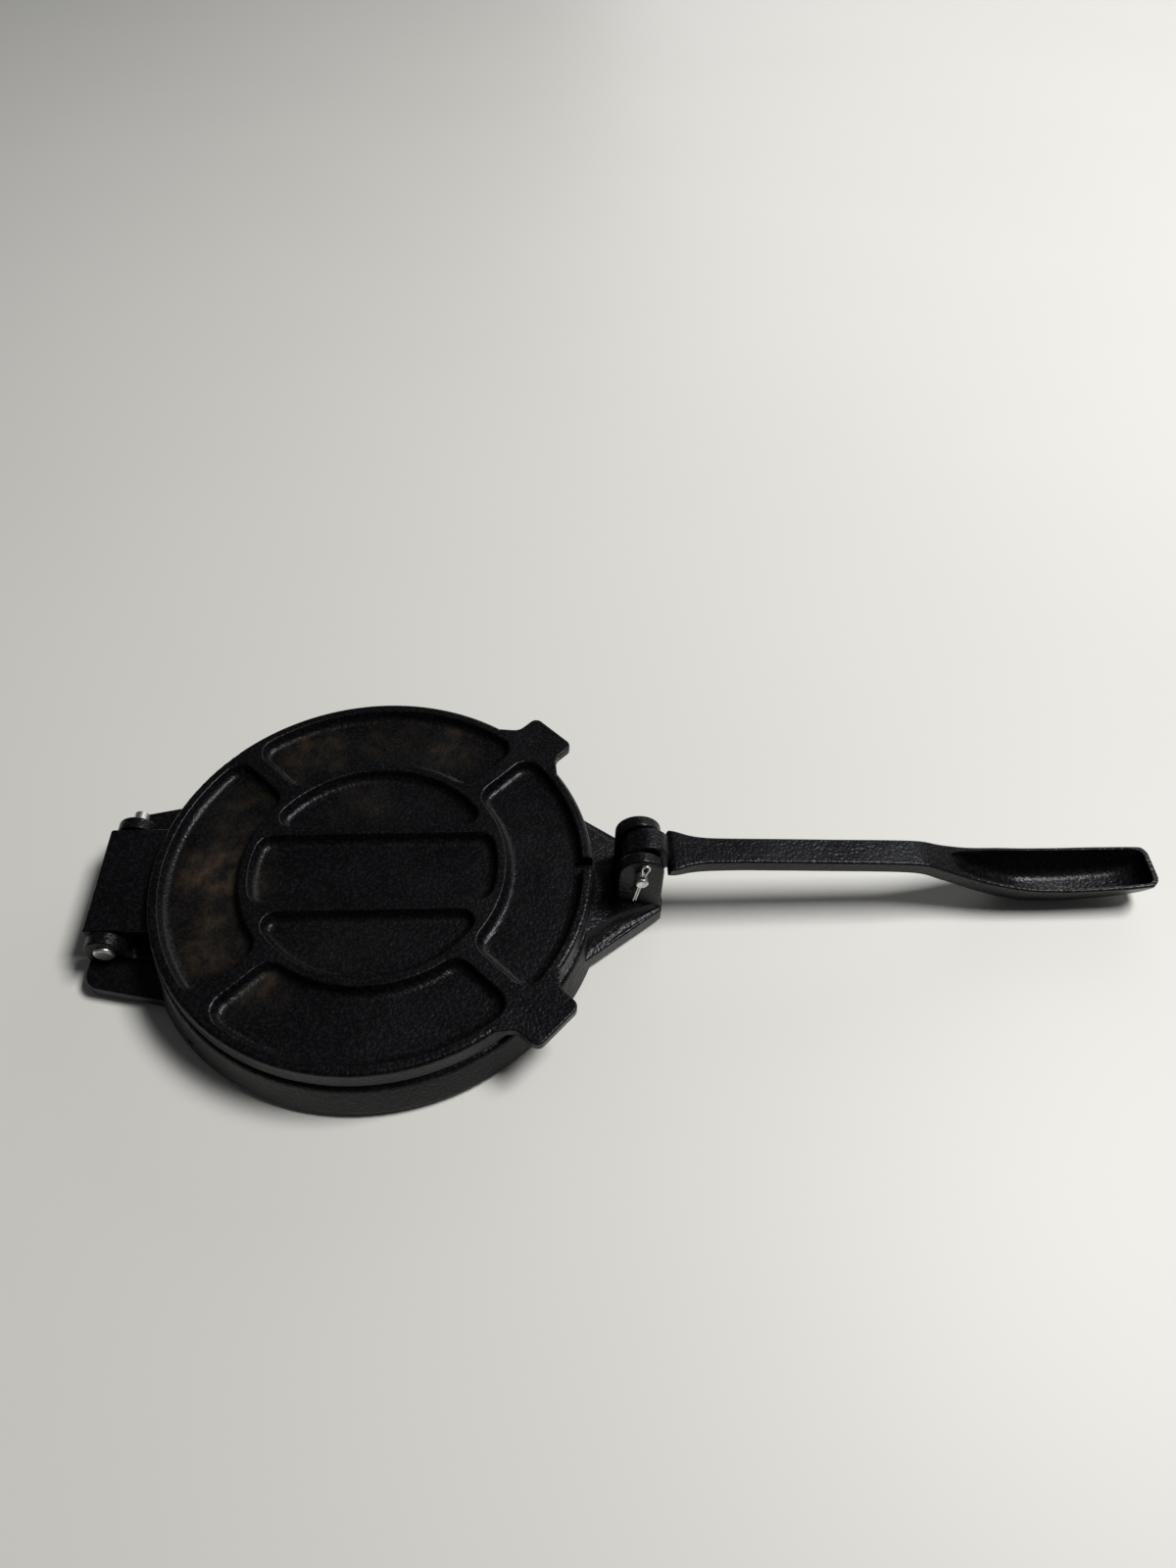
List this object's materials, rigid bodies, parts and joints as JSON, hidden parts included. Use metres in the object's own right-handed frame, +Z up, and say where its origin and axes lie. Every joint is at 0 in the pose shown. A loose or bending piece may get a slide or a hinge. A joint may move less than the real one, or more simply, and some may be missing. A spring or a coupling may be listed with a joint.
{
  "type": "tortilla press",
  "caption": "Round cast-iron press: a ribbed lid hinged at the rear closes on a flat base, and a hand lever pivoted at the front folds over to squeeze it.",
  "frame": {"origin": "on the plane the feet stand on, under the centre of the round plates", "axes": "+Z up; +X from the lid hinge towards the lever's grip; +Y to the side where the hinge pin's plain end is"},
  "size_m": [0.5185, 0.2214, 0.0523],
  "materials": {
    "base_iron": "seasoned sand-cast skin",
    "lid_iron": "seasoned sand-cast skin with faint brown patina in the recesses",
    "lever_iron": "seasoned sand-cast skin",
    "pin_steel": "bright zinc-plated",
    "split_pin_zinc": "bright zinc-plated"
  },
  "bodies": {
    "base": {"base_plate": "base_iron", "hinge_pin": "pin_steel", "pivot_pin": "pin_steel", "split_pin": "split_pin_zinc"},
    "lid": {"lid": "lid_iron"},
    "lever": {"lever": "lever_iron"}
  },
  "joints": [
    {"name": "lid_hinge", "type": "hinge", "parent": "base", "child": "lid", "pos_m": [-0.123, 0, 0.0165], "axis": [0, -1, 0], "range_deg": [0, 105]},
    {"name": "lever_pivot", "type": "hinge", "parent": "base", "child": "lever", "pos_m": [0.127, 0, 0.0403], "axis": [0, -1, 0], "range_deg": [0, 185]}
  ]
}
